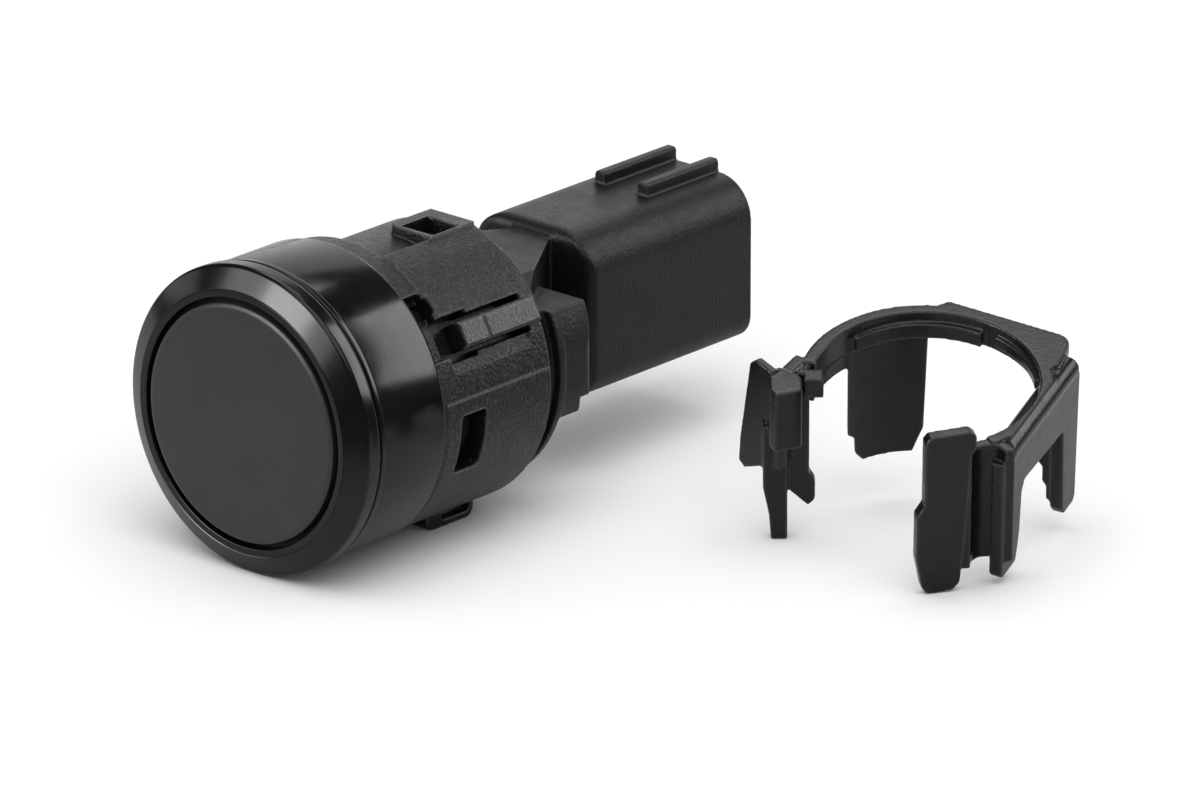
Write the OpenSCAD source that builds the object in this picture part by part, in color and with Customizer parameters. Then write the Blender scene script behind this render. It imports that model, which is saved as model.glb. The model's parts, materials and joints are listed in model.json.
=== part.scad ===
// Ultrasonic parking sensor for a vehicle bumper, with its loose retaining clip
// Millimetres. The sensor's axis is Y and the sensing face looks along -Y.
// The origin is on that axis, in the middle of the bezel's cylindrical land.

/* [Sensing face] */
// Radius of the round membrane
face_r = 8; // [7:0.1:9]
// Rounding of the membrane's front edge
face_round = 0.5; // [0.2:0.1:0.7]
// How far the membrane stands proud of the bezel's lip
face_proud = 0.15; // [0.05:0.05:0.3]
// Thickness of the membrane
membrane_t = 0.8; // [0.6:0.1:1.2]
// Side wall of the transducer cup
cup_wall = 1; // [0.8:0.1:1.5]
// Length of the transducer cup
cup_len = 9.4; // [9:0.1:9.6]
// Open gap round the membrane
face_gap = 0.4; // [0.3:0.05:0.8]
// Depth of the open gap
face_gap_depth = 0.9; // [0.6:0.1:1.2]
// Radius of the piezo disc
piezo_r = 3.5; // [2.5:0.1:4.5]
// Thickness of the piezo disc
piezo_t = 0.6; // [0.4:0.1:1]
// Thickness of the damping foam
foam_t = 3.5; // [2:0.1:5]

/* [Bezel ring] */
// Width of the flat lip
lip_w = 0.55; // [0.3:0.05:0.9]
// Width of the sloping face outside the lip
slope_w = 1.45; // [1.2:0.05:2.2]
// How far back the sloping face runs
slope_len = 1; // [0.8:0.05:1.3]
// Rounding between the sloping face and the land
slope_round = 0.4; // [0.2:0.05:0.6]
// Length of the cylindrical land
land_len = 0.9; // [0.6:0.1:1.4]
// Width of the groove behind the land
groove_len = 0.25; // [0.15:0.05:0.4]
// Length of the bead behind the groove
bead_len = 0.45; // [0.3:0.05:0.8]
// Thickness of the lip
lip_t = 1.5; // [1.1:0.1:1.8]

/* [Sleeve] */
// Step down from the land to the sleeve
sleeve_step = 0.2; // [0.1:0.05:0.5]
// Visible length of the sleeve
sleeve_len = 5.8; // [4.5:0.05:8]
// Wall of the sleeve
sleeve_wall = 1.2; // [1:0.05:1.4]
// Wall of the spigot that carries the bezel ring
spigot_wall = 0.4; // [0.3:0.05:0.5]

/* [Collar] */
// Step down from the sleeve to the collar
collar_step = 0.35; // [0.2:0.05:0.6]
// Length of the collar
collar_len = 10.4; // [10:0.05:12]
// Wall of the collar
collar_wall = 1.2; // [1:0.05:1.4]
// Height of the collar's raised panels
panel_rise = 0.12; // [0.06:0.02:0.2]
// Length of the window along the axis
window_len = 2.4; // [1.5:0.1:3]
// Arc that the window spans, in degrees
window_arc = 24.5; // [15:0.5:32]
// Arc of the latch channel, in degrees
channel_arc = 15; // [13:0.5:16]
// Width of the latch tongue at its foot
tongue_w = 1.8; // [1.4:0.1:2]
// How far the latch tongue stands proud
tongue_rise = 0.35; // [0.1:0.05:0.6]
// Width of the loops' bars
loop_bar = 0.9; // [0.6:0.1:1.1]
// Length of a loop along the axis
loop_len = 4.2; // [3.8:0.1:4.6]

/* [Housing] */
// Wall of the housing's body tube
body_wall = 1.1; // [0.9:0.1:1.3]
// Running gap between the body tube and the collar
fit_gap = 0.05; // [0.03:0.01:0.08]
// Open groove behind the collar
rear_gap = 1.6; // [1:0.1:2]
// Thickness of the rear flange
flange_t = 0.5; // [0.4:0.1:1]
// Step down from the collar to the rear flange
flange_step = 0.55; // [0.3:0.05:0.8]
// Length of the neck between flange and connector
neck_len = 7; // [6.4:0.1:8]
// Length of the flat-sided block behind the flange
block_len = 2.9; // [2.2:0.1:3.6]

/* [Connector] */
// Width of the connector shroud
shroud_w = 10.4; // [10:0.1:12]
// Height of the connector shroud
shroud_h = 11.2; // [10.6:0.1:12]
// Length of the connector shroud
shroud_len = 16.1; // [14:0.1:20]
// Wall of the connector shroud
shroud_wall = 1.2; // [1:0.1:1.5]
// Thickness of the wall between neck and socket
shroud_base = 2.4; // [1.6:0.1:3.4]
// Radius of the shroud's two upper corners
shroud_top_r = 2.8; // [1.6:0.1:2.9]
// Radius of the shroud's two lower corners
shroud_bottom_r = 1.7; // [1.2:0.1:2]
// Rounding of the shroud's front edge
shroud_edge = 0.8; // [0.5:0.1:1]
// Height of the shroud's middle above the sensor's axis
shroud_z = 0.75; // [0.4:0.05:1]
// Length of the coding ribs
rib_len = 7.2; // [4:0.1:9]
// Width of a coding rib
rib_w = 0.9; // [0.6:0.1:1.3]
// Height of a coding rib
rib_h = 0.9; // [0.6:0.1:1.6]
// Distance between the coding ribs
rib_pitch = 3.7; // [3:0.1:4.4]
// Distance between the terminal pins
pin_pitch = 2.3; // [2:0.1:2.6]
// Side of the square terminal pins
pin_side = 0.64; // [0.5:0.02:0.8]
// Free length of the pins inside the socket
pin_free = 8; // [6:0.1:10]

/* [Electronics] */
// Thickness of the circuit board
board_t = 1; // [0.8:0.1:1.6]
// Gap from the potting seal to the board
board_gap = 4.2; // [4:0.1:5]
// Thickness of the potting seal
seal_t = 1.2; // [0.8:0.1:1.6]
// Radius of the lead wires
wire_r = 0.25; // [0.2:0.01:0.3]

/* [Retaining clip] */
// Inner radius of the clip's ring
ring_r = 7.3; // [7:0.1:7.6]
// Width of the clip's ring
ring_w = 0.9; // [0.8:0.05:1.1]
// Height of the clip's ring
ring_h = 1.9; // [1.6:0.1:2.4]
// Height of the ring's left end, where it carries the spring arm
arm_h = 3.2; // [2.6:0.1:3.8]
// Thickness of the clip's legs
leg_t = 0.9; // [0.8:0.05:1.1]
// Height of the ring's top above the surface, in the middle
clip_h = 12.3; // [11.8:0.1:12.8]
// Lean of the ring, in degrees
clip_lean = 16; // [13:1:18]
// Turn of the clip about the upright, in degrees
clip_turn = 41.5; // [30:0.5:60]
// Sideways place of the clip from the sensor's axis
clip_x = 31.3; // [29:0.1:36]
// Place of the clip behind the sensing face
clip_back = 31; // [28:0.1:36]

/* [Hidden] */
$fn = 96;
small = 0.02;

// Radii from the membrane outwards
lip_r = face_r + face_gap;
slope_r = lip_r + lip_w;
land_r = slope_r + slope_w;
groove_r = land_r - 0.25;
bead_r = land_r - 0.1;
sleeve_r = land_r - sleeve_step;
sleeve_in = sleeve_r - sleeve_wall;
spigot_r = sleeve_in + spigot_wall;
collar_r = sleeve_r - collar_step;
collar_in = collar_r - collar_wall;
body_r = collar_in - fit_gap;
body_in = body_r - body_wall;
flange_r = collar_r - flange_step;
cup_in = face_r - cup_wall;

// Places along the axis, measured back from the front of the bezel's lip
membrane_y1 = membrane_t - face_proud;
piezo_y1 = membrane_y1 + piezo_t;
land_y0 = slope_len;
land_y1 = land_y0 + land_len;
groove_y1 = land_y1 + groove_len;
bezel_y1 = groove_y1 + bead_len;
sleeve_y1 = bezel_y1 + sleeve_len;
collar_y0 = sleeve_y1;
collar_y1 = collar_y0 + collar_len;
flange_y0 = collar_y1 + rear_gap;
flange_y1 = flange_y0 + flange_t;
shroud_y0 = flange_y1 + neck_len;
socket_y0 = shroud_y0 + shroud_base;
shroud_y1 = shroud_y0 + shroud_len;
rubber_y1 = collar_y0 + 1.3;
body_y0 = rubber_y1;
origin_y = (land_y0 + land_y1) / 2;

// The collar's details, with angles counted from +X towards +Z
band_y1 = collar_y0 + 1.7;
notch_depth = collar_wall - 0.4;
notch_a1 = 51;
slot_a0 = 41.5;
slot_a1 = 48.5;
slot_y0 = band_y1 - 0.6;
slot_y1 = band_y1 + 0.25;
panel_a0 = -62;
panel_a1 = 72;
panel_in = collar_r - 0.5;
panel_back = 0.1;
panel_y0 = collar_y0 + 0.5;
recess_r = collar_in + 0.3;
recess_a1 = 150;
channel_mid = 30;
channel_a0 = channel_mid - channel_arc / 2;
channel_a1 = channel_mid + channel_arc / 2;
channel_y1 = collar_y1 - 1;
tongue_y0 = band_y1 + 1.4;
pocket_arc = channel_arc + 3;
pocket_y1 = tongue_y0 + 1.3;
tongue_y1 = collar_y1 - 0.2;
tongue_edge = 0.15;
tongue_line = 0.12;
tongue_line_y = tongue_y0 + 2.2;
facet_a = channel_mid + 5;
facet_r = collar_r * cos(facet_a - channel_a0 + 6);
frame_a1 = 6.7;
frame_slant = 17;
window_a1 = 0.8;
window_y0 = band_y1;
window_round = 0.35;
loop_drop = 0.25;
loop_front = 0.35;
loop_rear = 1.3;
loop_x0 = -0.6;
loop_x1 = 3.2;
loop_y1 = collar_y1;
loop_y0 = loop_y1 - loop_len;
low_loop_x1 = 3.65;
low_loop_y1 = collar_y1 - 0.7;
low_loop_y0 = low_loop_y1 - loop_len - 0.3;
low_loop_front = 1.4;
low_loop_round = 0.7;
low_loop_pocket = 0.8;

// The flange, the block behind it and the neck
block_x = flange_r - 0.12;
block_z0 = -3.3;
block_z1 = 4.1;
flange_top = block_z1;
block_step = 0.9;
block_edge = 0.3;
block_round = 0.8;
block_y1 = flange_y1 + block_len;
neck_y0 = flange_y0 + 0.2;
neck_y1 = shroud_y0 + 0.5;
neck_r = body_r - 1;
neck_top = shroud_z + shroud_h / 2 - shroud_edge + 0.15;
neck_x0 = neck_r - 1.2;
neck_x1 = shroud_w / 8;
core_x = shroud_w / 2 - 1.6;
core_z0 = block_z0 + 1.5;
core_z1 = block_z1 - 2.6;

// The clip's places, from the middle of its ring: sideways, away, and up from the ring's top
ring_shift = 0.5;
ring_a0 = -60;
ring_a1 = 167;
ring_out = ring_r + ring_w;
arm_p = [10, 3.6];
arm_q = [4.85, -7.45];
arm_len = norm(arm_q - arm_p);
arm_groove = 0.35;
arm_round = 0.8;
arm_proud = 0.2;
arm_top = -1.1;
arm_rib = 2.3;
gusset_mid = [8.15, 4.45];
gusset_r = 1.15;
front_p = [-0.55, -9.2];
front_turn = 15;
channel_c = [3.85, -7.75];
channel_r = 1.1;
channel_t = 0.7;
channel_deep = 9;
post_len = 4.5;
lip_plate_t = 0.6;
deep = 16;

// The board and what is on it
seal_y1 = body_y0 + seal_t;
board_y0 = seal_y1 + board_gap;
board_y1 = board_y0 + board_t;
board_r = body_in - 0.05;
ledge_in = board_r - 0.9;
pin_y1 = socket_y0 + pin_free;
wire_x = 2.2;
chip_w = 0.59 * board_r;
chip_z = -0.08 * board_r;
coil_z = -0.56 * board_r;
coil_r = 0.32 * board_r;
coil_len = 0.86 * board_gap;
coil_rim = 0.2 * coil_len;
capacitor_size = [0.17 * board_r, 0.28 * board_gap, 0.27 * board_r];
capacitor_z = 0.45 * board_r;
resistor_size = [0.11 * board_r, 0.12 * board_gap, 0.21 * board_r];
resistor_z = -0.21 * board_r;

// The surface that everything lies on
floor_z = -land_r;

// Puts a shape measured from the bezel's lip into the part's own frame
module from_face() {
    translate([0, -origin_y, 0]) children();
}

// Turns a profile of (radius, distance behind the face) about the sensor's axis
module turned() {
    rotate([-90, 0, 0]) rotate_extrude() children();
}

// A tube about the sensor's axis
module tube(r0, r1, y0, y1) {
    turned() translate([r0, y0]) square([r1 - r0, y1 - y0]);
}

// A disc about the sensor's axis
module disc(r, y0, y1) {
    translate([0, y0, 0]) rotate([-90, 0, 0]) cylinder(r = r, h = y1 - y0);
}

// Part of a tube between two angles, counted from +X towards +Z
module sector(r0, r1, y0, y1, a0, a1) {
    rotate([0, -a0, 0]) rotate([-90, 0, 0]) rotate([0, 0, a0 - a1])
        rotate_extrude(angle = a1 - a0) translate([r0, y0]) square([r1 - r0, y1 - y0]);
}

// A block given by its lowest and highest corners
module block(low, high) {
    translate(low) cube(high - low);
}

// A rectangle with its own radius at the upper and at the lower corners
module soft_rect(w, h, top_r, bottom_r) {
    union() {
        for (side = [-1, 1]) {
            translate([side * (w / 2 - top_r), h / 2 - top_r]) circle(top_r);
            translate([side * (w / 2 - bottom_r), -h / 2 + bottom_r]) circle(bottom_r);
        }
        translate([-w / 2 + top_r, h / 2 - top_r]) square([w - 2 * top_r, top_r]);
        translate([-w / 2, -h / 2 + bottom_r]) square([w, h - top_r - bottom_r]);
        translate([-w / 2 + bottom_r, -h / 2]) square([w - 2 * bottom_r, bottom_r]);
    }
}

// Extrudes an (X, Z) outline along the sensor's axis
module along_axis(y0, y1) {
    translate([0, y1, 0]) rotate([90, 0, 0]) linear_extrude(y1 - y0) children();
}

module transducer_cup() {
    color("dimgray") from_face() turned() difference() {
        union() {
            translate([0, -face_proud]) square([face_r - face_round, cup_len]);
            translate([0, face_round - face_proud]) square([face_r, cup_len - face_round]);
            translate([face_r - face_round, face_round - face_proud]) circle(face_round);
        }
        translate([-1, membrane_y1]) square([cup_in + 1, cup_len]);
        translate([-2, -1]) square([2, cup_len + 2]);
    }
}

module piezo_disc() {
    color("wheat") from_face() disc(piezo_r, membrane_y1, piezo_y1);
}

module lead_wire(side) {
    x = side * wire_x;
    color("firebrick") from_face() translate([x, piezo_y1, 0]) rotate([-90, 0, 0])
        cylinder(r = wire_r, h = board_y0 - piezo_y1, $fn = 24);
}

module wire_holes(y0, y1) {
    for (side = [-1, 1])
        translate([side * wire_x, y0, 0]) rotate([-90, 0, 0])
            cylinder(r = wire_r, h = y1 - y0, $fn = 24);
}

module damping_foam() {
    color("gray") from_face() difference() {
        disc(cup_in, piezo_y1, piezo_y1 + foam_t);
        wire_holes(piezo_y1 - 1, piezo_y1 + foam_t + 1);
    }
}

module decoupling_ring() {
    color("black") from_face() union() {
        tube(face_r, lip_r, face_gap_depth, lip_t);
        tube(face_r, sleeve_in, lip_t, collar_y0);
        tube(face_r, body_r, collar_y0 - small, rubber_y1);
    }
}

// Section of the sloping face: a straight line from the lip, then an arc that runs into the land
module slope_section() {
    reach = slope_w - slope_round;
    away = norm([reach, slope_len]);
    lean = atan2(slope_len, reach) - asin(slope_round / away);
    flat = sqrt(away * away - slope_round * slope_round);
    union() {
        polygon([[slope_r, 0], [slope_r + flat * cos(lean), flat * sin(lean)],
                 [slope_r + reach, slope_len], [slope_r, slope_len]]);
        intersection() {
            translate([slope_r + reach, slope_len]) circle(slope_round);
            translate([slope_r, 0]) square([slope_w, slope_len]);
        }
    }
}

module bezel_ring() {
    color("black") from_face() turned() difference() {
        union() {
            translate([lip_r, 0]) square([lip_w, bezel_y1]);
            slope_section();
            translate([lip_r, land_y0 - small]) square([land_r - lip_r, land_len + small]);
            translate([lip_r, land_y1 - small]) square([groove_r - lip_r, groove_len + 2 * small]);
            translate([lip_r, groove_y1]) square([bead_r - lip_r, bead_len]);
        }
        translate([0, lip_t]) square([spigot_r, bezel_y1]);
    }
}

module head_sleeve() {
    color("black") from_face() union() {
        tube(sleeve_in, spigot_r, lip_t, bezel_y1);
        tube(sleeve_in, sleeve_r, bezel_y1, sleeve_y1);
    }
}

// One side's front notch, latch channel and window, cut through the collar
module side_cuts() {
    inside = collar_in - 1;
    outside = collar_r + 2;
    sector(collar_r - notch_depth, outside, collar_y0 - 1, band_y1, channel_a0 + 1, notch_a1);
    sector(inside, outside, slot_y0, slot_y1, slot_a0, slot_a1);
    sector(inside, outside, band_y1 - small, channel_y1, channel_a0, channel_a1);
    sector(inside - 0.1, outside + 0.1, band_y1 - 2 * small, pocket_y1,
           channel_mid - pocket_arc / 2, channel_mid + pocket_arc / 2);
    sector(inside, outside, channel_y1 - small, collar_y1 + 1, channel_a0 + 2, channel_a0 + 3.5);
    window_cut();
    rotate([0, -facet_a, 0])
        block([facet_r, band_y1, -6], [outside, channel_y1 - 0.2, 0]);
}

// Window with rounded corners, cut along its own middle
module window_cut() {
    across = 2 * collar_r * sin(window_arc / 2);
    rotate([0, window_arc / 2 - window_a1, 0]) translate([collar_in - 1, window_y0 + window_len / 2, 0])
        rotate([90, 0, 90]) linear_extrude(collar_wall + 3)
            soft_rect(window_len, across, window_round, window_round);
}

// Sprung bar in the latch channel, joined to the collar at its rear end only, with a line across it
module tongue() {
    top = collar_r + tongue_rise;
    root = collar_in - 1;
    foot = tongue_w / 2;
    rotate([0, -channel_mid, 0]) difference() {
        along_axis(tongue_y0, tongue_y1)
            polygon([[root, -foot], [top - tongue_edge, -foot], [top, -foot + tongue_edge],
                     [top, foot - tongue_edge], [top - tongue_edge, foot], [root, foot]]);
        block([top - tongue_line, tongue_line_y, -foot - 1],
              [top + 1, tongue_line_y + tongue_line, foot + 1]);
    }
}

// Raised panel that frames the window, with a slanted front edge and one cut corner
module window_panel() {
    difference() {
        sector(panel_in, collar_r + panel_rise, panel_y0, collar_y1 - panel_back, panel_a0, frame_a1);
        rotate([0, -frame_a1, 0]) translate([collar_r, panel_y0, 0]) rotate([45, 0, 0])
            cube([4, 1, 1], center = true);
        translate([0, panel_y0, 0.4]) rotate([frame_slant, 0, 0])
            block([0, -5, -20], [collar_r + 2, 0, 0]);
    }
}

module top_panel() {
    sector(panel_in, collar_r + panel_rise, band_y1 + panel_back, collar_y1 - panel_back,
           channel_mid, panel_a1 + 5);
}

// Loop on the collar's top, with one rounded corner
module top_loop() {
    r = 0.8 * loop_bar;
    wide = loop_x1 - loop_x0;
    linear_extrude(collar_r - loop_drop) union() {
        translate([loop_x0, loop_y0 + r]) square([wide, loop_len - r]);
        translate([loop_x0 + r, loop_y0]) square([wide - r, loop_len]);
        translate([loop_x0 + r, loop_y0 + r]) circle(r);
    }
}

// The top loop's open eye, which reaches the edge of the top panel
module loop_eye() {
    block([loop_x0 + loop_bar, loop_y0 + loop_front, 0],
          [collar_r * cos(panel_a1), loop_y1 - loop_rear, collar_r + 1]);
}

// Outline seen from the side, from the sensor's axis down, with its corners rounded
module side_outline(y0, y1, z0, r) {
    translate([(y0 + y1) / 2, z0 / 2]) soft_rect(y1 - y0, -z0, r, r);
}

// Loop under the collar, level with the bezel so that the sensor lies flat on it
module bottom_loop() {
    difference() {
        translate([loop_x0, 0, 0]) rotate([90, 0, 90]) linear_extrude(low_loop_x1 - loop_x0)
            side_outline(low_loop_y0, low_loop_y1, floor_z, low_loop_round);
        translate([low_loop_x1 - low_loop_pocket, 0, 0]) rotate([90, 0, 90])
            linear_extrude(low_loop_pocket + 1)
                side_outline(low_loop_y0 + low_loop_front, low_loop_y1 - loop_front,
                             floor_z + loop_bar / 2, low_loop_round / 2);
    }
}

// Repeats a shape half a turn round the sensor's axis
module both_sides() {
    children();
    rotate([0, 180, 0]) children();
}

module locking_collar() {
    color("#202020") from_face() difference() {
        union() {
            difference() {
                union() {
                    disc(collar_r, collar_y0, collar_y1);
                    both_sides() window_panel();
                    top_panel();
                }
                both_sides() side_cuts();
                sector(recess_r, collar_r + 2, band_y1, collar_y1 + 1, panel_a1, recess_a1);
            }
            both_sides() tongue();
            top_loop();
            bottom_loop();
        }
        loop_eye();
        disc(collar_in, collar_y0 - 1, collar_y1 + 1);
    }
}

module shroud_outline(inset) {
    translate([0, shroud_z])
        soft_rect(shroud_w - 2 * inset, shroud_h - 2 * inset,
                  shroud_top_r - inset, shroud_bottom_r - inset);
}

// Outline of one coding rib, sunk a little into the shroud's top
module rib_outline(x) {
    sunk = 0.5;
    translate([x, shroud_z + shroud_h / 2 + (rib_h - sunk) / 2])
        soft_rect(rib_w, rib_h + sunk, 0.25, 0.1);
}

module coding_ribs() {
    for (side = [-1, 1])
        along_axis(shroud_y1 - rib_len, shroud_y1) rib_outline(side * rib_pitch / 2);
}

// The shroud's outline seen from above or from the side, with its two front corners rounded
module rounded_front(w) {
    long = shroud_len + 2;
    translate([0, shroud_y0 + long / 2]) soft_rect(w, long, shroud_edge, shroud_edge);
}

// Shroud with a rounded front edge
module shroud_body() {
    intersection() {
        along_axis(shroud_y0, shroud_y1) shroud_outline(0);
        translate([0, 0, shroud_z - shroud_h]) linear_extrude(2 * shroud_h)
            rounded_front(shroud_w + 2 * small);
        translate([shroud_w, 0, shroud_z]) rotate([0, -90, 0]) linear_extrude(2 * shroud_w)
            rounded_front(shroud_h + 2 * small);
    }
}

// Flat-sided block behind the flange, with rounded rear and lower edges
module flange_block(y1, z0) {
    high = block_z1 - z0;
    long = 2 * (y1 - flange_y0);
    intersection() {
        disc(flange_r - 0.05, neck_y0, y1 + 1);
        along_axis(flange_y0, y1 + 2) translate([0, z0 + high / 2])
            soft_rect(2 * block_x, high, block_edge, block_round);
        translate([0, 0, z0 - 1]) linear_extrude(high + 2) translate([0, y1 - long / 2])
            soft_rect(2 * block_x - 2 * small, long, block_round, block_round);
    }
}

// Upper neck: rounded shoulders and a flat top, narrowing towards the connector
module upper_neck() {
    intersection() {
        disc(neck_r, neck_y0, neck_y1 + 1);
        linear_extrude(neck_top)
            polygon([[-neck_x0, flange_y0], [neck_x0, flange_y0], [neck_x1, neck_y1], [-neck_x1, neck_y1]]);
    }
}

module neck() {
    flange_block(block_y1 - block_step, block_z0);
    flange_block(block_y1, block_z0 + block_step);
    upper_neck();
    block([-core_x, neck_y0, core_z0], [core_x, neck_y1, core_z1]);
}

// Round flange behind the collar, flat on top
module rear_flange() {
    difference() {
        disc(flange_r, flange_y0, flange_y1);
        block([-flange_r, flange_y0 - 1, flange_top], [flange_r, flange_y1 + 1, flange_r + 1]);
    }
}

module housing() {
    color("#1c1c1c") from_face() difference() {
        union() {
            disc(body_r, body_y0, flange_y0);
            rear_flange();
            neck();
            shroud_body();
            coding_ribs();
        }
        disc(body_in, body_y0 - 1, board_y1);
        disc(ledge_in, board_y0, flange_y0 - 0.4);
        along_axis(socket_y0, shroud_y1 + 1) shroud_outline(shroud_wall);
        pin_slots();
    }
}

module pin(i) {
    x = (i - 1) * pin_pitch;
    block([x - pin_side / 2, board_y0, shroud_z - pin_side / 2],
          [x + pin_side / 2, pin_y1, shroud_z + pin_side / 2]);
}

module pin_slots() {
    for (i = [0:2]) pin(i);
}

module terminal_pin(i) {
    color("goldenrod") from_face() pin(i);
}

module potting_seal() {
    color("darkslategray") from_face() difference() {
        disc(body_in, body_y0, seal_y1);
        wire_holes(body_y0 - 1, seal_y1 + 1);
    }
}

module circuit_board() {
    color("darkgreen") from_face() difference() {
        disc(board_r, board_y0, board_y1);
        pin_slots();
    }
}

module driver_chip() {
    color("black") from_face()
        block([-chip_w / 2, board_y1, chip_z - chip_w], [chip_w / 2, board_y1 + board_t, chip_z]);
}

module transformer_core() {
    color("dimgray") from_face() translate([0, 0, coil_z]) union() {
        disc(coil_r / 2, board_y0 - coil_len, board_y0);
        disc(coil_r, board_y0 - coil_len, board_y0 - coil_len + coil_rim);
        disc(coil_r, board_y0 - coil_rim, board_y0);
    }
}

module transformer_winding() {
    color("chocolate") from_face() translate([0, 0, coil_z])
        tube(coil_r / 2, 0.92 * coil_r, board_y0 - coil_len + coil_rim, board_y0 - coil_rim);
}

module chip_row(count, pitch, size, z) {
    for (i = [0:count - 1]) {
        x = (i - (count - 1) / 2) * pitch;
        block([x - size[0] / 2, board_y0 - size[1], z],
              [x + size[0] / 2, board_y0, z + size[2]]);
    }
}

module capacitors() {
    color("tan") from_face() chip_row(3, 2 * capacitor_size[0], capacitor_size, capacitor_z);
}

module resistors() {
    color("black") from_face() chip_row(4, 3 * resistor_size[0], resistor_size, resistor_z);
}

// Part of a ring about the clip's middle, between two heights and two angles
module clip_arc(r0, r1, z0, z1, a0, a1) {
    translate([0, ring_shift, 0]) rotate([0, 0, a0]) rotate_extrude(angle = a1 - a0)
        translate([r0, z0]) square([r1 - r0, z1 - z0]);
}

// Stands an outline of (along, up) on edge, with its thickness behind it
module upright(t) {
    rotate([90, 0, 0]) linear_extrude(t) children();
}

// Places an upright shape at p, with its length running towards q
module towards(p, q) {
    translate([p[0], p[1], 0]) rotate([0, 0, atan2(q[1] - p[1], q[0] - p[0])]) children();
}

// Ring with a lower inner ledge, a taller left end and a small notch in the ledge
module clip_ring() {
    clip_arc(ring_r, ring_out, -ring_h, 0, ring_a0, ring_a1);
    clip_arc(ring_r + 0.1, ring_out - 0.1, -arm_h, -0.3, 128, ring_a1 - 1);
    clip_arc(ring_r - 0.45, ring_r + 0.2, -ring_h + 0.1, -0.7, 58, 129.5);
    clip_arc(ring_r - 0.3, ring_r + 0.2, -ring_h + 0.5, -0.6, 5, 50);
}

// Flat corner plate between the ring and the right arm
module clip_gusset() {
    translate([0, 0, -leg_t]) linear_extrude(leg_t) difference() {
        union() {
            polygon([[0.6, 8.5], [1.66, 9.1], [8.68, 5.47], [9.2, 4], [8.5, 2], [6, 0], [0, 6]]);
            translate(gusset_mid) circle(gusset_r);
        }
        translate([0, ring_shift]) circle(ring_r + 0.3);
    }
}

// Everything outside the groove that runs between the ring and the right arm's rounded top
module beyond_arm() {
    towards(arm_p, arm_q) block([-arm_len, -arm_groove, -deep], [2 * arm_len, arm_len, deep]);
}

// Right arm: a plate with a rear and a front leg, a rounded top edge and a stepped rib inside
module clip_right_arm() {
    towards(arm_p, arm_q) {
        upright(leg_t)
            polygon([[-0.1, arm_top - 0.8], [0.15, arm_top - 0.2], [0.6, arm_top],
                     [arm_len + 0.2, arm_top], [arm_len + 0.2, -9.8],
                     [arm_len - 0.1, -10.2], [arm_len - 2.2, -10.2], [arm_len - 2.75, -8.2],
                     [arm_len - 3, -5.2], [arm_len - 3.4, -4.5], [2.6, -4.9], [2.4, -11.2],
                     [2, -11.8], [0.5, -11.8], [0.2, -11.4]]);
        translate([0.5, arm_proud - arm_round, arm_top]) rotate([0, 90, 0])
            cylinder(r = arm_round, h = arm_len - 1.8);
        translate([arm_rib, -leg_t / 2, 0]) rotate([0, 0, -90]) upright(leg_t - 0.2)
            polygon([[0, arm_top], [1.4, arm_top], [1.4, -8], [1.1, -8.3], [1.1, -9.4],
                     [0.8, -9.8], [0.8, -10.8], [0, -11.1]]);
    }
}

// Hooked front leg: a curved channel from the right arm to a turned flat plate
module clip_front() {
    translate([channel_c[0], channel_c[1], -channel_deep]) rotate([0, 0, 20]) rotate_extrude(angle = 170)
        translate([channel_r, 0]) square([channel_t, channel_deep - 0.1]);
    translate([front_p[0], front_p[1], 0]) rotate([0, 0, front_turn]) translate([0, leg_t, 0]) upright(leg_t)
        polygon([[0.3, 1.7], [0.6, 2.1], [3.3, 2.1], [3.7, 1.7], [3.7, 0.7], [3.4, 0.3],
                 [3.05, -6.2], [2.75, -9.7], [2.3, -10.2], [0.6, -10.3], [0.2, -9.7],
                 [-0.2, -7.4], [-0.2, -4], [0.3, -3.2]]);
}

// Left spring arm: a rounded post, a flared lip, a tapered leg, a hooked plate and a nub
module clip_left_arm() {
    translate([0, 0, -post_len]) linear_extrude(post_len + 0.1)
        polygon([[-10.1, 0.5], [-9.85, 1.4], [-9.5, 1.65], [-9, 1.35], [-8.2, 0.8], [-8, 0.2],
                 [-8, -0.9], [-8.4, -1.1], [-9.7, -1.5], [-10.1, -0.8]]);
    towards([-7.6, 2.7], [-9.2, 0.2]) upright(leg_t)
        polygon([[0, 0], [2.6, 0], [2.6, -7], [1.4, -7], [0, -arm_h]]);
    towards([-9.4, 0.1], [-11.2, 2.1]) upright(lip_plate_t)
        polygon([[0, -0.2], [0.9, 0.2], [2.4, 0.4], [2.95, -0.1], [3.85, -6.5], [3.95, -8.3],
                 [3.4, -8.7], [1.9, -7.8], [0, -7]]);
    translate([0, 1.8, 0]) upright(2 * lip_plate_t)
        polygon([[-10.5, -4], [-8.9, -4], [-8.85, -10.2], [-8.8, -deep], [-9.65, -deep],
                 [-10.05, -11], [-10.45, -8.9]]);
    translate([0, 2.2, 0]) upright(leg_t)
        polygon([[-9.1, -0.2], [-7.5, -0.2], [-7.45, -8.2], [-7.05, -8.9], [-7.05, -10.3],
                 [-7.5, -10.8], [-8.7, -9.6], [-9.1, -8.6]]);
    block([-7.9, 0.5, -1.6], [-6.6, 1.7, -0.15]);
}

// Curved back panel that narrows towards its foot
module clip_back_panel() {
    intersection() {
        clip_arc(ring_r - 0.1, ring_out - 0.1, -deep, -0.6, 80, 140);
        translate([0, 2 * ring_r, 0]) upright(2 * ring_r)
            polygon([[-4.95, 0], [-4.9, -8.5], [-4.45, -9], [-4.4, -10.2], [-3.9, -11],
                     [-0.6, -11.1], [0.1, -9.2], [0.35, 0]]);
    }
}

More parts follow.
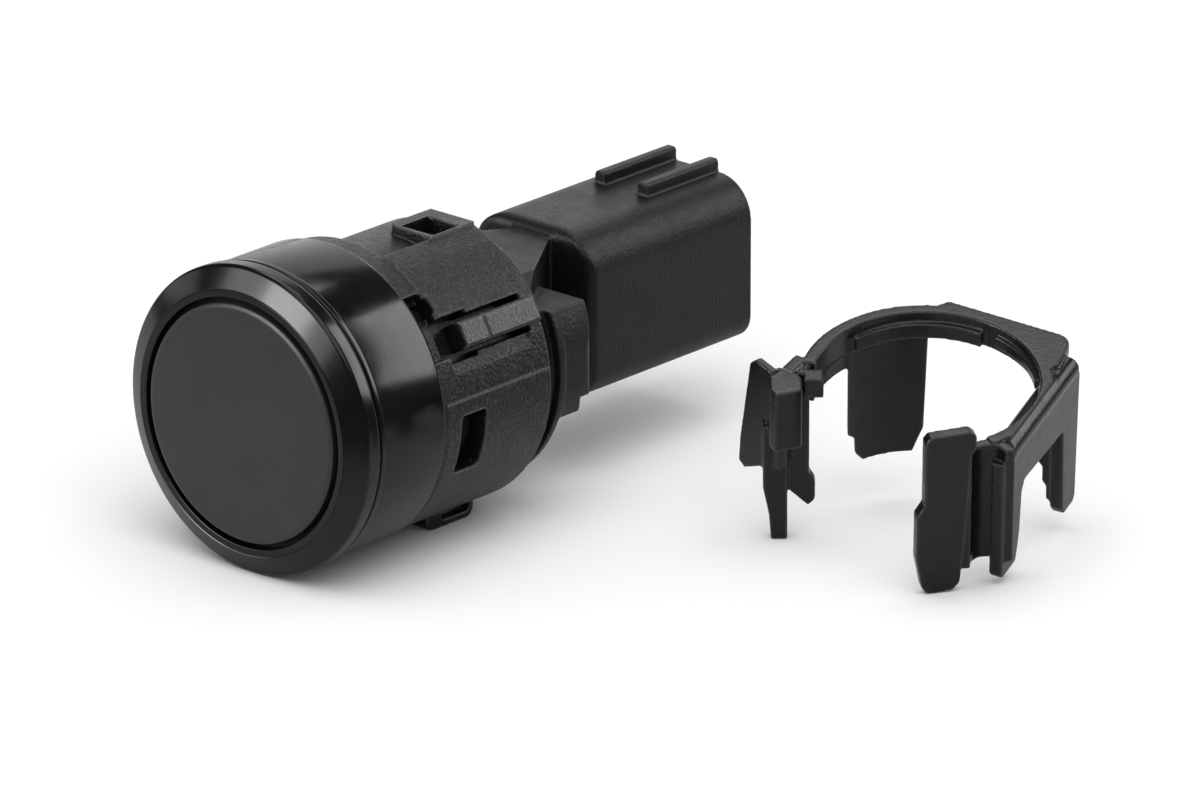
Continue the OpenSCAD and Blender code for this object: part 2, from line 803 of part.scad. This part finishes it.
module retaining_clip() {
    color("#242424") from_face() translate([clip_x, clip_back, floor_z]) rotate([0, 0, clip_turn])
        difference() {
            translate([0, 0, clip_h]) rotate([clip_lean, 0, 0]) union() {
                difference() {
                    union() {
                        clip_ring();
                        clip_gusset();
                    }
                    beyond_arm();
                }
                clip_right_arm();
                clip_front();
                clip_left_arm();
                clip_back_panel();
            }
            translate([0, 0, -50]) cube([100, 100, 100], center = true);
        }
}

transducer_cup();
piezo_disc();
damping_foam();
decoupling_ring();
bezel_ring();
head_sleeve();
locking_collar();
housing();
potting_seal();
circuit_board();
driver_chip();
transformer_core();
transformer_winding();
capacitors();
resistors();
lead_wire(-1);  // lead_wire_1
lead_wire(1);  // lead_wire_2
terminal_pin(0);  // terminal_pin_1
terminal_pin(1);  // terminal_pin_2
terminal_pin(2);  // terminal_pin_3
retaining_clip();
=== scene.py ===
"""Looks of a parking sensor and its retaining clip: moulded edges, plastics, studio light and camera."""

import json
import math

import bpy
from mathutils import Matrix, Vector

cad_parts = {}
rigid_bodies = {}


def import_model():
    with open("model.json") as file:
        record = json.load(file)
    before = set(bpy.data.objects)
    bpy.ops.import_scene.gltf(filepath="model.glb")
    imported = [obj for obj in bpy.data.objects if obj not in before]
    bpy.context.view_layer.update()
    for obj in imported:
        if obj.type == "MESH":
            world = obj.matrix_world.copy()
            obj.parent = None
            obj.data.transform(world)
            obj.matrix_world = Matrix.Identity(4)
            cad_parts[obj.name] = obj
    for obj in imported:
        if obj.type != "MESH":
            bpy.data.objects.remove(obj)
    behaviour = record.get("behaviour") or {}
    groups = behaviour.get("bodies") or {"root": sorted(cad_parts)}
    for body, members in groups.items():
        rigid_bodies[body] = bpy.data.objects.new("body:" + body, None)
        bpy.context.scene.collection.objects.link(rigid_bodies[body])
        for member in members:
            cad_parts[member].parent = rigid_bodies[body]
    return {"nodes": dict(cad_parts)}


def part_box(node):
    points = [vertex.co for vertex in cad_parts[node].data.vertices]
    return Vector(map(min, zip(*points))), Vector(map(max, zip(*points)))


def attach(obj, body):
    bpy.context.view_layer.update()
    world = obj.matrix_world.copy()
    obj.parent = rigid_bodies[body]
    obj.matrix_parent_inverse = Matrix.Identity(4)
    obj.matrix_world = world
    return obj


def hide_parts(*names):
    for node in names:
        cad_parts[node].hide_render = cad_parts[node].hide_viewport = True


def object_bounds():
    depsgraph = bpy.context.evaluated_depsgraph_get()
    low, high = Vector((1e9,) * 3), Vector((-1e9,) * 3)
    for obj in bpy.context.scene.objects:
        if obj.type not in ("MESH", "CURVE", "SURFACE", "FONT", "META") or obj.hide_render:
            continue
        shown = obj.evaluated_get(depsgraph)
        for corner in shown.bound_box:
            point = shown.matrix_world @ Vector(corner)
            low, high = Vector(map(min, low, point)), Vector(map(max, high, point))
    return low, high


for default in list(bpy.data.objects):
    bpy.data.objects.remove(default)
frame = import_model()
cad_low, cad_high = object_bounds()

# Sizes of the part are in millimetres, and MM turns them into Blender's metres.
MM = 0.001


# Shapes

ARC_STEPS = 6
TURNED_STEPS = 288
ON_AXIS = 1e-6
SHARP_ANGLE = math.radians(38)
WELD = 0.0005
SMOOTHING = 0.5


def rounded(corners, steps=ARC_STEPS):
    """A closed outline from (radius, y, fillet) corners, each fillet drawn as an arc."""
    outline = []
    for i, (r, y, fillet) in enumerate(corners):
        here = Vector((r, y))
        if fillet == 0:
            outline.append(here)
            continue
        before = (Vector(corners[i - 1][:2]) - here).normalized()
        after = (Vector(corners[(i + 1) % len(corners)][:2]) - here).normalized()
        half = before.angle(after) / 2
        reach = fillet / math.tan(half)
        centre = here + (before + after).normalized() * fillet / math.sin(half)
        start = here + before * reach - centre
        turn = start.angle_signed(here + after * reach - centre)
        for k in range(steps + 1):
            a = -turn * k / steps
            arc_r = start.x * math.cos(a) - start.y * math.sin(a)
            arc_y = start.x * math.sin(a) + start.y * math.cos(a)
            outline.append(centre + Vector((arc_r, arc_y)))
    return outline


def piece(name, verts, faces):
    """A smooth mesh object whose sharp edges stay sharp."""
    mesh = bpy.data.meshes.new(name)
    mesh.from_pydata(verts, [], faces)
    mesh.validate()
    mesh.polygons.foreach_set("use_smooth", [True] * len(mesh.polygons))
    mesh.set_sharp_from_angle(angle=SHARP_ANGLE)
    made = bpy.data.objects.new(name, mesh)
    bpy.context.scene.collection.objects.link(made)
    return made


def spun(name, outline):
    """A solid of revolution about the sensor's axis from a closed outline."""
    verts, faces, rings = [], [], []
    for r, y in outline:
        if r < ON_AXIS:
            rings.append([len(verts)] * TURNED_STEPS)
            verts.append((0, y * MM, 0))
            continue
        rings.append(list(range(len(verts), len(verts) + TURNED_STEPS)))
        for k in range(TURNED_STEPS):
            a = 2 * math.pi * k / TURNED_STEPS
            verts.append((r * MM * math.cos(a), y * MM, r * MM * math.sin(a)))
    for i, ring in enumerate(rings):
        after = rings[(i + 1) % len(rings)]
        if ring[0] == ring[1] and after[0] == after[1]:
            continue
        for k in range(TURNED_STEPS):
            n = (k + 1) % TURNED_STEPS
            corners = [ring[k], after[k], after[n], ring[n]]
            faces.append(list(dict.fromkeys(corners)))
    return piece(name, verts, faces)


def solved(made):
    """Apply an object's modifiers to its mesh."""
    mesh = bpy.data.meshes.new_from_object(made.evaluated_get(bpy.context.evaluated_depsgraph_get()))
    made.modifiers.clear()
    made.data = mesh


def smoothed(made, passes, group=""):
    """Add a smoothing of the whole object, or of one vertex group."""
    smooth = made.modifiers.new("smooth", "SMOOTH")
    smooth.factor = SMOOTHING
    smooth.iterations = passes
    smooth.vertex_group = group


def softened(node, voxel, passes, keep, rim=None):
    """A copy of a CAD node with its moulded edges rounded: voxels, smoothing, then fewer faces.

    keep is the share of faces that stay.
    rim is (from y, to y, passes) of a stretch that is smoothed further.
    """
    mesh = frame["nodes"][node].data.copy()
    mesh.transform(Matrix.Scale(1 / MM, 4))
    made = bpy.data.objects.new(f"{node}_moulded", mesh)
    bpy.context.scene.collection.objects.link(made)
    weld = made.modifiers.new("weld", "WELD")
    weld.merge_threshold = WELD
    remesh = made.modifiers.new("remesh", "REMESH")
    remesh.mode = "VOXEL"
    remesh.voxel_size = voxel
    smoothed(made, passes)
    solved(made)
    if rim:
        inside = [v.index for v in made.data.vertices if rim[0] < v.co.y < rim[1]]
        made.vertex_groups.new(name="rim").add(inside, 1.0, "REPLACE")
        smoothed(made, rim[2], "rim")
    fewer = made.modifiers.new("fewer", "DECIMATE")
    fewer.ratio = keep
    solved(made)
    made.vertex_groups.clear()
    made.data.name = made.name
    made.data.materials.clear()
    made.data.transform(Matrix.Scale(MM, 4))
    made.data.polygons.foreach_set("use_smooth", [True] * len(made.data.polygons))
    return made


# Materials

PLASTIC_IOR = 1.45
NOISE_SPAN = (0.3, 0.7)
SOFT_DETAIL = 2.0
FINE_DETAIL = 3.0
COLOUR_SPOTS = 3.0
SHEEN_SPOTS = 1.2
FLECK_SPOTS = 0.28
FLECK_SPAN = (0.52, 0.68)
OUTER_BLEND = 0.1
EDGE_WIDTH = 0.25
EDGE_SAMPLES = 4
EDGE_MATCH = (0.88, 0.99)


def grey(value):
    return (value, value, value)


def material(name, base, roughness, ior=PLASTIC_IOR):
    made = bpy.data.materials.new(name)
    made.use_nodes = True
    shader = made.node_tree.nodes["Principled BSDF"]
    shader.inputs["Base Color"].default_value = (*base, 1)
    shader.inputs["Roughness"].default_value = roughness
    shader.inputs["IOR"].default_value = ior
    return made, shader


def noise(made, size_mm, detail=SOFT_DETAIL, stretch=(1, 1, 1)):
    """A noise whose spots are about size_mm across, fixed to the object and drawn out by stretch."""
    tree = made.node_tree
    place = tree.nodes.new("ShaderNodeTexCoord")
    sized = tree.nodes.new("ShaderNodeMapping")
    sized.inputs["Scale"].default_value = [1 / (size_mm * MM * k) for k in stretch]
    spots = tree.nodes.new("ShaderNodeTexNoise")
    spots.inputs["Scale"].default_value = 1
    spots.inputs["Detail"].default_value = detail
    tree.links.new(place.outputs["Object"], sized.inputs["Vector"])
    tree.links.new(sized.outputs["Vector"], spots.inputs["Vector"])
    return spots.outputs["Fac"]


def ranged(made, value, low, high, span=NOISE_SPAN):
    """value mapped from span, by default the usual one of a noise, to low..high."""
    node = made.node_tree.nodes.new("ShaderNodeMapRange")
    numbers = {"From Min": span[0], "From Max": span[1], "To Min": low, "To Max": high}
    for socket, number in numbers.items():
        node.inputs[socket].default_value = number
    made.node_tree.links.new(value, node.inputs["Value"])
    return node.outputs["Result"]


def mixed(made, value, dark, light):
    """A colour between dark and light, each a colour or another node's output."""
    mix = made.node_tree.nodes.new("ShaderNodeMix")
    mix.data_type = "RGBA"
    for socket, colour in (("A", dark), ("B", light)):
        if isinstance(colour, tuple):
            mix.inputs[socket].default_value = (*colour, 1)
        else:
            made.node_tree.links.new(colour, mix.inputs[socket])
    made.node_tree.links.new(value, mix.inputs["Factor"])
    return mix.outputs["Result"]


def edges(made):
    """0 on plain faces, 1 along edges, from how far the face's normal is from its rounded one."""
    tree = made.node_tree
    rounded_off = tree.nodes.new("ShaderNodeBevel")
    rounded_off.samples = EDGE_SAMPLES
    rounded_off.inputs["Radius"].default_value = EDGE_WIDTH * MM
    plain = tree.nodes.new("ShaderNodeNewGeometry")
    match = tree.nodes.new("ShaderNodeVectorMath")
    match.operation = "DOT_PRODUCT"
    tree.links.new(rounded_off.outputs["Normal"], match.inputs[0])
    tree.links.new(plain.outputs["Normal"], match.inputs[1])
    return ranged(made, match.outputs["Value"], 1, 0, EDGE_MATCH)


def from_axis(made):
    """Distance from the sensor's axis."""
    tree = made.node_tree
    place = tree.nodes.new("ShaderNodeTexCoord")
    section = tree.nodes.new("ShaderNodeVectorMath")
    section.operation = "MULTIPLY"
    section.inputs[1].default_value = (1, 0, 1)
    reach = tree.nodes.new("ShaderNodeVectorMath")
    reach.operation = "LENGTH"
    tree.links.new(place.outputs["Object"], section.inputs[0])
    tree.links.new(section.outputs["Vector"], reach.inputs[0])
    return reach.outputs["Value"]


def bumped(made, shader, value, depth_mm):
    bump = made.node_tree.nodes.new("ShaderNodeBump")
    bump.inputs["Strength"].default_value = 1.0
    bump.inputs["Distance"].default_value = depth_mm * MM
    made.node_tree.links.new(value, bump.inputs["Height"])
    made.node_tree.links.new(bump.outputs["Normal"], shader.inputs["Normal"])


def plastic(name, dark, light, rough, grain, ior=PLASTIC_IOR, stretch=(1, 1, 1)):
    """Moulded plastic with slightly uneven colour and sheen. grain is the grain's size and depth."""
    made, shader = material(name, dark, rough[0], ior)
    tree = made.node_tree
    colour = mixed(made, ranged(made, noise(made, COLOUR_SPOTS), 0, 1), dark, light)
    tree.links.new(colour, shader.inputs["Base Color"])
    tree.links.new(ranged(made, noise(made, SHEEN_SPOTS), *rough), shader.inputs["Roughness"])
    size_mm, depth_mm = grain
    bumped(made, shader, noise(made, size_mm, FINE_DETAIL, stretch), depth_mm)
    return made


def grained(name, dark, light, fleck, painted_edge_highlight, rough, grain, ior, outer_mm=0):
    """As plastic, with pale flecks and a painted highlight along its edges where it is more than outer_mm
    from the axis.
    """
    made = plastic(name, dark, light, rough, grain, ior)
    base = made.node_tree.nodes["Principled BSDF"].inputs["Base Color"]
    ground = base.links[0].from_socket
    flecks = ranged(made, noise(made, FLECK_SPOTS, FINE_DETAIL), 0, 1, FLECK_SPAN)
    # Painted highlight: the base colour turns lighter along every edge, whatever the light.
    used = mixed(made, edges(made), mixed(made, flecks, ground, fleck), painted_edge_highlight)
    outside = ((outer_mm - OUTER_BLEND) * MM, outer_mm * MM)
    shown = ranged(made, from_axis(made), 0, 1, outside)
    made.node_tree.links.new(mixed(made, shown, ground, used), base)
    return made


def polished(made, low_mm, high_mm, roughness, unpolished, bump):
    """Smoother where the surface is further than low_mm to high_mm from the sensor's axis.

    The grain is full from the roughness unpolished up, and falls to the share bump where it is smoothest.
    """
    tree = made.node_tree
    shader = tree.nodes["Principled BSDF"]
    rough = shader.inputs["Roughness"]
    mix = tree.nodes.new("ShaderNodeMix")
    mix.inputs["B"].default_value = roughness
    tree.links.new(ranged(made, from_axis(made), 0, 1, (low_mm * MM, high_mm * MM)), mix.inputs["Factor"])
    tree.links.new(rough.links[0].from_socket, mix.inputs["A"])
    tree.links.new(mix.outputs["Result"], rough)
    strength = shader.inputs["Normal"].links[0].from_node.inputs["Strength"]
    tree.links.new(ranged(made, mix.outputs["Result"], bump, 1, (roughness, unpolished)), strength)


def metal(name, dark, light, rough):
    made = plastic(name, dark, light, rough, grain=(0.15, 0.002))
    made.node_tree.nodes["Principled BSDF"].inputs["Metallic"].default_value = 1.0
    return made


# Plastics of the outside

gloss = plastic("gloss_black", grey(0.003), grey(0.004), rough=(0.16, 0.20), grain=(0.5, 0.0006), ior=1.37)
sleeve_gloss = plastic(
    "sleeve_black",
    grey(0.003),
    grey(0.005),
    rough=(0.14, 0.20),
    grain=(0.80, 0.0040),
    ior=1.34,
    stretch=(2, 1, 2),
)
COLLAR_ROUGH = (0.29, 0.38)
# The lightest colour given to each grained plastic below is a painted highlight along its edges.
moulded = grained(
    "grained_black",
    grey(0.004),
    grey(0.007),
    fleck=grey(0.028),
    painted_edge_highlight=grey(0.100),
    rough=COLLAR_ROUGH,
    grain=(0.20, 0.090),
    ior=1.37,
    outer_mm=9.75,
)
polished(moulded, low_mm=10.05, high_mm=10.15, roughness=0.24, unpolished=COLLAR_ROUGH[0], bump=0.35)
housing_plastic = grained(
    "satin_black",
    grey(0.004),
    grey(0.006),
    fleck=grey(0.009),
    painted_edge_highlight=grey(0.035),
    rough=(0.38, 0.46),
    grain=(0.20, 0.040),
    ior=1.34,
)
clip_plastic = grained(
    "clip_black",
    grey(0.004),
    grey(0.006),
    fleck=grey(0.009),
    painted_edge_highlight=grey(0.060),
    rough=(0.22, 0.30),
    grain=(0.35, 0.013),
    ior=1.36,
)
lacquer = plastic(
    "lacquer_grey", grey(0.023), grey(0.027), rough=(0.34, 0.38), grain=(0.10, 0.004), ior=1.38
)
rubber_and_gap_shade = plastic("rubber_black_and_gap_shade", grey(0.003), grey(0.005), rough=(0.75, 0.85), grain=(0.20, 0.006))


# Materials of the inside

potting = plastic("potting_grey", grey(0.02), grey(0.03), rough=(0.30, 0.40), grain=(0.6, 0.01))
foam = plastic("foam_grey", grey(0.10), grey(0.16), rough=(0.85, 0.95), grain=(0.30, 0.05))
ceramic = plastic(
    "piezo_ceramic", (0.55, 0.50, 0.42), (0.62, 0.57, 0.48), rough=(0.45, 0.55), grain=(0.10, 0.004)
)
board_green = plastic(
    "board_green", (0.010, 0.060, 0.025), (0.014, 0.080, 0.034), rough=(0.30, 0.40), grain=(0.40, 0.006)
)
chip_black = plastic("chip_black", grey(0.015), grey(0.020), rough=(0.45, 0.55), grain=(0.12, 0.006))
ferrite = plastic("ferrite", grey(0.045), grey(0.060), rough=(0.50, 0.60), grain=(0.12, 0.008))
capacitor = plastic(
    "capacitor_tan", (0.30, 0.20, 0.11), (0.36, 0.24, 0.13), rough=(0.35, 0.45), grain=(0.12, 0.004)
)
resistor = plastic("resistor_black", grey(0.02), grey(0.03), rough=(0.35, 0.45), grain=(0.12, 0.004))
copper = metal("copper", (0.55, 0.24, 0.12), (0.65, 0.30, 0.16), rough=(0.25, 0.35))
tin = metal("tin", grey(0.55), grey(0.65), rough=(0.25, 0.35))


# Places taken from the solids

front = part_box("bezel_ring")[0].y / MM
bezel_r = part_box("bezel_ring")[1].z / MM
bezel_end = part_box("bezel_ring")[1].y / MM
sleeve_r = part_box("head_sleeve")[1].x / MM
sleeve_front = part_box("head_sleeve")[0].y / MM
sleeve_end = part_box("head_sleeve")[1].y / MM
face_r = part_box("transducer_cup")[1].x / MM
face_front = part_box("transducer_cup")[0].y / MM
cup_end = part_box("transducer_cup")[1].y / MM
rubber_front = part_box("decoupling_ring")[0].y / MM
rubber_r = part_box("decoupling_ring")[1].x / MM
SHROUD_LENGTH = 16.1
shroud_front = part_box("housing")[1].y / MM - SHROUD_LENGTH


# Bezel ring

MEMBRANE_GAP = 0.4
LIP_WIDTH = 0.55
LIP_FILLET = 0.08
LINE_START = 0.10
LINE_BOTTOM = 0.06
LINE_DEPTH = 0.05
LINE_FILLET = 0.01
LINE_START_FILLET = 0.03
SLOPE_START = 0.02
SLOPE_RISE = 0.76
SLOPE_FILLET = 0.36
LAND_LENGTH = 1.9
LAND_FILLET = 0.20
GROOVE_WIDTH = 0.25
GROOVE_DEPTH = 0.25
GROOVE_LEAN = 0.02
GROOVE_FILLET = 0.05
BEAD_INSET = 0.10
BEAD_FILLET = 0.12
BEZEL_ARC_STEPS = 12


def bezel_outline():
    """Lip, fine line, sloping face, land, groove and bead."""
    lip_r = face_r + MEMBRANE_GAP
    slope_r = lip_r + LIP_WIDTH
    land_end = front + LAND_LENGTH
    bead = land_end + GROOVE_WIDTH
    return rounded(
        [
            (lip_r, rubber_front, 0),
            (lip_r, front, LIP_FILLET),
            (slope_r - LINE_START, front, LINE_START_FILLET),
            (slope_r - LINE_BOTTOM, front + LINE_DEPTH, LINE_FILLET),
            (slope_r, front + SLOPE_START, LINE_FILLET),
            (bezel_r, front + SLOPE_RISE, SLOPE_FILLET),
            (bezel_r, land_end, LAND_FILLET),
            (bezel_r - GROOVE_DEPTH, land_end + GROOVE_LEAN, GROOVE_FILLET),
            (bezel_r - GROOVE_DEPTH, bead - GROOVE_LEAN, GROOVE_FILLET),
            (bezel_r - BEAD_INSET, bead, BEAD_FILLET),
            (bezel_r - BEAD_INSET, bezel_end, BEAD_FILLET),
            (rubber_r, bezel_end, 0),
            (rubber_r, rubber_front, 0),
        ],
        BEZEL_ARC_STEPS,
    )


bezel = spun("bezel_ring_turned", bezel_outline())
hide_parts("bezel_ring")


# Head sleeve

SPIGOT_INSET = 0.6
SLEEVE_FRONT_FILLET = 0.10
SLEEVE_END_FILLET = 0.30


def sleeve_outline():
    """A cylinder with a spigot that stands inside the bezel."""
    spigot_r = bezel_r - SPIGOT_INSET
    return rounded(
        [
            (rubber_r, sleeve_front, 0),
            (spigot_r, sleeve_front, 0),
            (spigot_r, bezel_end, 0),
            (sleeve_r, bezel_end, SLEEVE_FRONT_FILLET),
            (sleeve_r, sleeve_end, SLEEVE_END_FILLET),
            (rubber_r, sleeve_end, 0),
        ]
    )


sleeve = spun("head_sleeve_turned", sleeve_outline())
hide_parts("head_sleeve")


# Transducer cup

CROWN_WIDTH = 0.18
CROWN_DROP = 0.14
CROWN_FILLET = 0.6
CROWN_EDGE_FILLET = 0.03
# Painted shade in the gap starts this far behind the cup's face.
GAP_SHADE_START = 0.16
CUP_WALL = 1.0
MEMBRANE_THICKNESS = 0.8
CUP_END_FILLET = 0.1
CUP_INNER_FILLET = 0.2
CUP_ARC_STEPS = 10


def cup_outline():
    """A pot whose floor is the membrane, with a crowned edge."""
    inner_r = face_r - CUP_WALL
    membrane_back = face_front + MEMBRANE_THICKNESS
    return rounded(
        [
            (0, face_front, 0),
            (face_r - CROWN_WIDTH, face_front, CROWN_FILLET),
            (face_r, face_front + CROWN_DROP, CROWN_EDGE_FILLET),
            (face_r, cup_end, CUP_END_FILLET),
            (inner_r, cup_end, CUP_END_FILLET),
            (inner_r, membrane_back, CUP_INNER_FILLET),
            (0, membrane_back, 0),
        ],
        CUP_ARC_STEPS,
    )


cup = spun("transducer_cup_turned", cup_outline())
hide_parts("transducer_cup")
# Behind its crowned edge the cup's side wall takes the second material, which is black: painted shade in
# the gap round the membrane.
for side in cup.data.polygons:
    side.material_index = int(side.center.y > (face_front + GAP_SHADE_START) * MM)


# Moulded pieces

RIM_START = shroud_front - 0.2
RIM_END = shroud_front + 1.8
RIM_PASSES = 50

collar = softened("locking_collar", voxel=0.06, passes=2, keep=0.19)
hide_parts("locking_collar")
housing = softened("housing", voxel=0.085, passes=2, keep=0.19, rim=(RIM_START, RIM_END, RIM_PASSES))
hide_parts("housing")
clip = softened("retaining_clip", voxel=0.065, passes=24, keep=0.3)
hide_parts("retaining_clip")


# What each piece is made of

for made, look, slot in (
    (bezel, gloss, "bezel_gloss"),
    (sleeve, sleeve_gloss, "sleeve_gloss"),
    (cup, lacquer, "face_lacquer"),
    (collar, moulded, "collar_plastic"),
    (housing, housing_plastic, "housing_plastic"),
    (clip, clip_plastic, "clip_plastic"),
):
    made.data.materials.append(look)
    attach(made, "root")
# The cup's second slot is the black rubber colour, used as painted shade on its side wall in the gap.
cup.data.materials.append(rubber_and_gap_shade)

LOOKS = {
    "decoupling_ring": rubber_and_gap_shade,
    "piezo_disc": ceramic,
    "damping_foam": foam,
    "lead_wire_1": copper,
    "lead_wire_2": copper,
    "potting_seal": potting,
    "circuit_board": board_green,
    "driver_chip": chip_black,
    "transformer_core": ferrite,
    "transformer_winding": copper,
    "capacitors": capacitor,
    "resistors": resistor,
    "terminal_pin_1": tin,
    "terminal_pin_2": tin,
    "terminal_pin_3": tin,
}
for name, look in LOOKS.items():
    node = frame["nodes"][name]
    node.data.materials.clear()
    node.data.materials.append(look)


# Floor: the paper's places are in metres

FLOOR_R = 1.6
FLOOR_CORNERS = 96
PAPER_MIDDLE = (-0.070, 0.110, cad_low.z)
PAPER_EDGE = (0.145, 0.175)
PAPER_DARK = grey(0.945)
PAPER_LIGHT = grey(0.955)
PAPER_ROUGH = 0.9
FIBRE_SPOTS = 2.0
REFLECTED_SHADE = grey(0.08)
REFLECTED_SHARE = 0.28


def floor_material():
    """White paper. Reflections show it darker, and as REFLECTED_SHADE beyond PAPER_EDGE from its middle."""
    made, shader = material("floor_white", PAPER_LIGHT, PAPER_ROUGH)
    tree = made.node_tree
    shader.inputs["Specular IOR Level"].default_value = 0
    place = tree.nodes.new("ShaderNodeTexCoord")
    reach = tree.nodes.new("ShaderNodeVectorMath")
    reach.operation = "LENGTH"
    tree.links.new(place.outputs["Object"], reach.inputs[0])
    path = tree.nodes.new("ShaderNodeLightPath")
    shaded = tree.nodes.new("ShaderNodeMath")
    shaded.operation = "MULTIPLY"
    tree.links.new(ranged(made, reach.outputs["Value"], REFLECTED_SHARE, 1, PAPER_EDGE), shaded.inputs[0])
    tree.links.new(path.outputs["Is Glossy Ray"], shaded.inputs[1])
    fibre = mixed(made, noise(made, FIBRE_SPOTS), PAPER_DARK, PAPER_LIGHT)
    colour = mixed(made, shaded.outputs[0], fibre, REFLECTED_SHADE)
    tree.links.new(colour, shader.inputs["Base Color"])
    return made


bpy.ops.mesh.primitive_circle_add(
    vertices=FLOOR_CORNERS, radius=FLOOR_R, fill_type="NGON", location=PAPER_MIDDLE
)
floor = bpy.context.object
floor.name = "floor"
floor.data.materials.append(floor_material())


# Light from the room, weaker in reflections

ROOM_LIGHT = 0.66
ROOM_REFLECTED = 0.08

world = bpy.data.worlds.new("studio")
bpy.context.scene.world = world
world.use_nodes = True
background = world.node_tree.nodes["Background"]
background.inputs["Color"].default_value = (*grey(1), 1)
room = world.node_tree.nodes.new("ShaderNodeMapRange")
room.inputs["To Min"].default_value = ROOM_LIGHT
room.inputs["To Max"].default_value = ROOM_REFLECTED
path = world.node_tree.nodes.new("ShaderNodeLightPath")
world.node_tree.links.new(path.outputs["Is Glossy Ray"], room.inputs["Value"])
world.node_tree.links.new(room.outputs["Result"], background.inputs["Strength"])


# Lamps: ends as (azimuth, elevation) in degrees, then breadth in metres and radiance

middle = (cad_low + cad_high) / 2


def placed(where, right, up, back):
    """The matrix of an object at where, with these directions as its axes."""
    return Matrix.Translation(where) @ Matrix((right, up, back)).transposed().to_4x4()


def direction(azimuth, elevation):
    """Unit vector from the object. Azimuth is counted from +X towards +Y, in degrees."""
    a, e = math.radians(azimuth), math.radians(elevation)
    return Vector((math.cos(a) * math.cos(e), math.sin(a) * math.cos(e), math.sin(e)))


def softbox(name, start, end, breadth, radiance):
    """A rectangular light that faces the object, with the middles of two sides a metre from it."""
    first, last = direction(*start), direction(*end)
    lamp = bpy.data.lights.new(name, "AREA")
    lamp.shape = "RECTANGLE"
    lamp.size = (last - first).length
    lamp.size_y = breadth
    lamp.energy = radiance * math.pi * lamp.size * lamp.size_y
    away = (first + last) / 2
    across = (last - first).normalized()
    facing = away.normalized()
    made = bpy.data.objects.new(name, lamp)
    made.matrix_world = placed(middle + away, across, facing.cross(across), facing)
    bpy.context.scene.collection.objects.link(made)
    return made


def reflector(*where):
    """A softbox that only reflections show."""
    softbox(*where).visible_diffuse = False


softbox("overhead", (318, 36), (138, 86), 0.95, 2.0)
reflector("back_right", (45, 11), (74, 43), 0.30, 6.0)
reflector("back_left", (116, 40), (136, 4), 0.40, 1.15)
reflector("back_mid", (98, 10), (120, 10), 0.35, 3.0)
reflector("back_low", (120, 0.5), (146, 0.5), 0.09, 1.6)
reflector("back_top", (100, 56), (165, 56), 0.30, 3.8)
reflector("left", (206, 10), (186, 2), 0.15, 1.2)
reflector("front_wide", (270, 12), (218, 18), 0.40, 4.4)
reflector("front", (260, 20), (238, 24), 0.40, 12.0)


# Camera: the photo's view, measured from the ellipses of the bezel and the rear flange

VIEW_AZIMUTH = math.radians(41.5)
VIEW_ELEVATION = math.radians(20.0)
FOCAL_PX = 12000.0
PX_PER_MM = 15.6
PICTURE_PX = (1200.0, 800.0)
FACE_PX = (241.3, 423.8)
SENSOR_WIDTH = 36
NEAREST = 0.01
FARTHEST = 20

back = Vector(
    (
        math.sin(VIEW_AZIMUTH) * math.cos(VIEW_ELEVATION),
        -math.cos(VIEW_AZIMUTH) * math.cos(VIEW_ELEVATION),
        math.sin(VIEW_ELEVATION),
    )
)
right = Vector((math.cos(VIEW_AZIMUTH), math.sin(VIEW_AZIMUTH), 0))
up = back.cross(right)
distance = FOCAL_PX / PX_PER_MM * MM
aside = (FACE_PX[0] - PICTURE_PX[0] / 2) * distance / FOCAL_PX
above = (PICTURE_PX[1] / 2 - FACE_PX[1]) * distance / FOCAL_PX
eye = Vector((0, front * MM, 0)) + back * distance - right * aside - up * above
camera_data = bpy.data.cameras.new("camera")
camera_data.sensor_width = SENSOR_WIDTH
camera_data.lens = FOCAL_PX / PICTURE_PX[0] * SENSOR_WIDTH
camera_data.clip_start = NEAREST
camera_data.clip_end = FARTHEST
camera = bpy.data.objects.new("camera", camera_data)
camera.matrix_world = placed(eye, right, up, back)
bpy.context.scene.collection.objects.link(camera)
bpy.context.scene.camera = camera
bpy.context.scene.view_settings.view_transform = "Standard"
